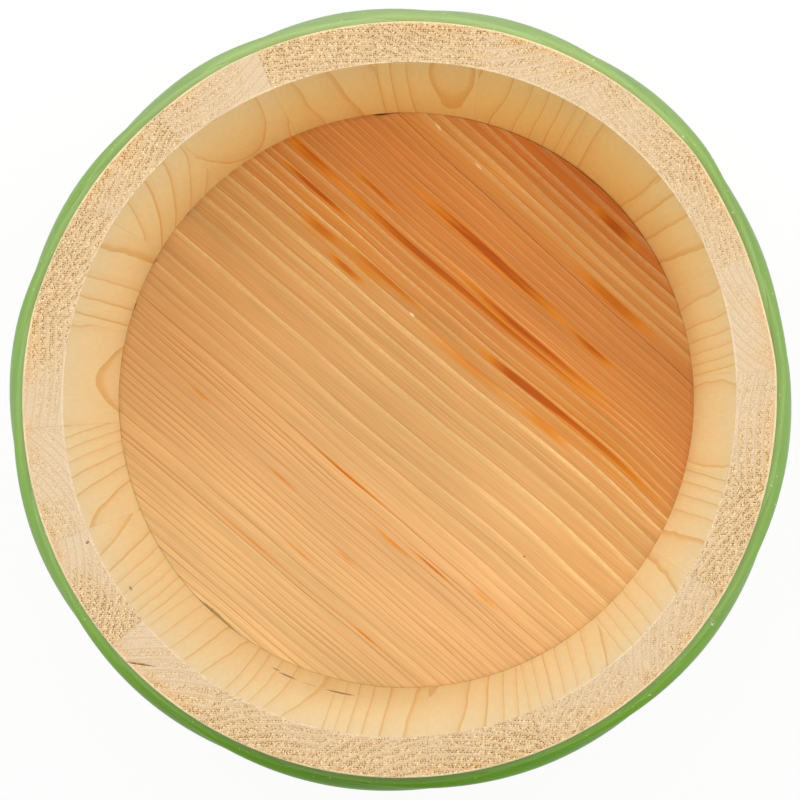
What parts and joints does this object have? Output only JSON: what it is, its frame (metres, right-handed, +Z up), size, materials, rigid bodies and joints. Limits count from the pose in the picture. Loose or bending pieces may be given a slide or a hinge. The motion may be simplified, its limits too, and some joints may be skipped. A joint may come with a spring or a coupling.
{
  "type": "miso fermenting tub",
  "caption": "Round coopered wooden tub, wider at the rim, with tapered staves, a recessed plank bottom in a groove, hidden pegs and twisted plastic hoops, for fermenting miso.",
  "frame": {"origin": "middle of the foot, on the surface that the tub stands on", "axes": "+Z up along the tub's axis, +X and +Y to the right and up in a view from above"},
  "size_m": [0.2721, 0.2718, 0.25],
  "materials": {
    "stave_wood": "pale planed softwood with a rough sawn rim",
    "bottom_wood": "reddish planed softwood with raised grain",
    "peg_bamboo": "split bamboo",
    "hoop_plastic": "satin green plastic"
  },
  "bodies": {
    "root": {"stave_01": "stave_wood", "stave_02": "stave_wood", "stave_03": "stave_wood", "stave_04": "stave_wood", "stave_05": "stave_wood", "stave_06": "stave_wood", "stave_07": "stave_wood", "stave_08": "stave_wood", "stave_09": "stave_wood", "stave_10": "stave_wood", "stave_11": "stave_wood", "stave_12": "stave_wood", "stave_13": "stave_wood", "stave_14": "stave_wood", "stave_15": "stave_wood", "stave_16": "stave_wood", "stave_17": "stave_wood", "stave_18": "stave_wood", "stave_19": "stave_wood", "stave_20": "stave_wood", "stave_peg_01": "peg_bamboo", "stave_peg_02": "peg_bamboo", "stave_peg_03": "peg_bamboo", "stave_peg_04": "peg_bamboo", "stave_peg_05": "peg_bamboo", "stave_peg_06": "peg_bamboo", "stave_peg_07": "peg_bamboo", "stave_peg_08": "peg_bamboo", "stave_peg_09": "peg_bamboo", "stave_peg_10": "peg_bamboo", "stave_peg_11": "peg_bamboo", "stave_peg_12": "peg_bamboo", "stave_peg_13": "peg_bamboo", "stave_peg_14": "peg_bamboo", "stave_peg_15": "peg_bamboo", "stave_peg_16": "peg_bamboo", "stave_peg_17": "peg_bamboo", "stave_peg_18": "peg_bamboo", "stave_peg_19": "peg_bamboo", "stave_peg_20": "peg_bamboo", "bottom_plank_1": "bottom_wood", "bottom_plank_2": "bottom_wood", "bottom_plank_3": "bottom_wood", "bottom_peg_1": "peg_bamboo", "bottom_peg_2": "peg_bamboo", "bottom_peg_3": "peg_bamboo", "bottom_peg_4": "peg_bamboo", "hoop_rim": "hoop_plastic", "hoop_middle": "hoop_plastic", "hoop_foot": "hoop_plastic"}
  },
  "joints": []
}
